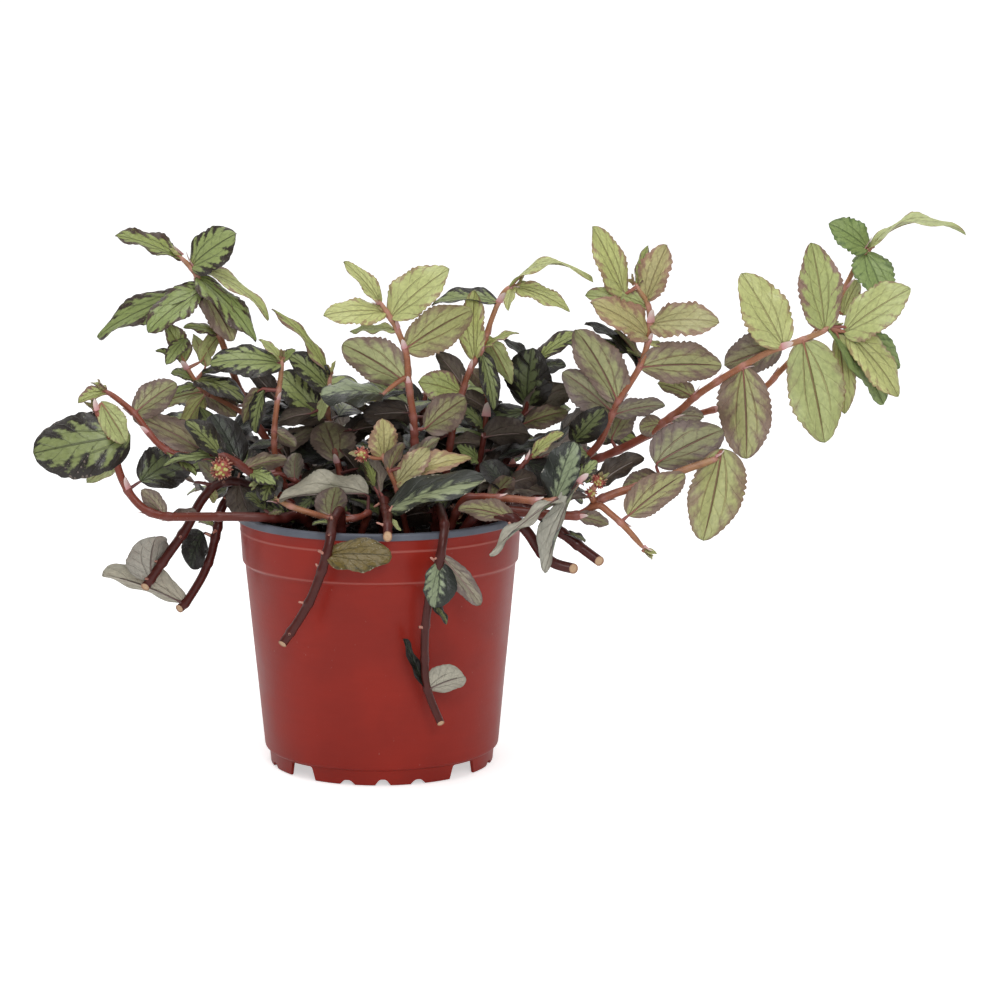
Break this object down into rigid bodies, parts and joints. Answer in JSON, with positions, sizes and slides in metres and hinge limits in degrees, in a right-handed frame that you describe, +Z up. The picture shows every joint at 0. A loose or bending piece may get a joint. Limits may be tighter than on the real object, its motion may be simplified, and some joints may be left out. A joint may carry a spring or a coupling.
{
  "type": "potted watermelon begonia",
  "caption": "Trailing foliage plant with small toothed, silver-and-dark patterned leaves on red-brown stems, rooted in soil in a tapered plastic nursery pot that stands on a flat surface.",
  "frame": {"origin": "middle of the whole plant's footprint box, on the surface that the pot stands on; the pot's own axis is 52 mm to the left of it and 28 mm in front of it", "axes": "+X to the right along the plant's widest spread, +Y away from the viewer, +Z up along the pot's axis"},
  "size_m": [0.388, 0.2056, 0.233],
  "materials": {
    "pot_plastic": "satin terracotta-red moulded plastic with a blue-grey lip",
    "soil": "matte, dark, crumbly potting soil",
    "stem": "satin, fleshy red-brown stem with swollen joints",
    "foliage": "satin, faintly metallic leaf, silvery green with dark brown-purple margins"
  },
  "bodies": {
    "root": {"cut_stem_front": "foliage", "cut_stem_right_back": "foliage", "cut_stem_right_front": "foliage", "cut_stub": "stem", "pot": "pot_plastic", "shoot_back_1": "foliage", "shoot_back_2": "foliage", "shoot_back_3": "foliage", "shoot_back_4": "foliage", "shoot_back_5": "foliage", "shoot_centre_dark": "foliage", "shoot_centre_left": "foliage", "shoot_crown_1": "foliage", "shoot_crown_2": "foliage", "shoot_crown_3": "foliage", "shoot_crown_4": "foliage", "shoot_crown_5": "foliage", "shoot_crown_6": "foliage", "shoot_crown_front_right": "foliage", "shoot_crown_left": "foliage", "shoot_crown_right": "foliage", "shoot_far_left": "foliage", "shoot_front_left": "foliage", "shoot_front_right": "foliage", "shoot_left": "foliage", "shoot_left_inner": "foliage", "shoot_left_tall": "foliage", "shoot_middle": "foliage", "shoot_middle_right": "foliage", "shoot_right_high": "foliage", "shoot_right_inner": "foliage", "shoot_right_long": "foliage", "shoot_right_low": "foliage", "soil": "soil", "trailing_stem_front_left": "foliage", "trailing_stem_front_right": "foliage", "trailing_stem_left_inner": "foliage", "trailing_stem_left_outer": "foliage", "young_shoot_front": "foliage"}
  },
  "joints": []
}
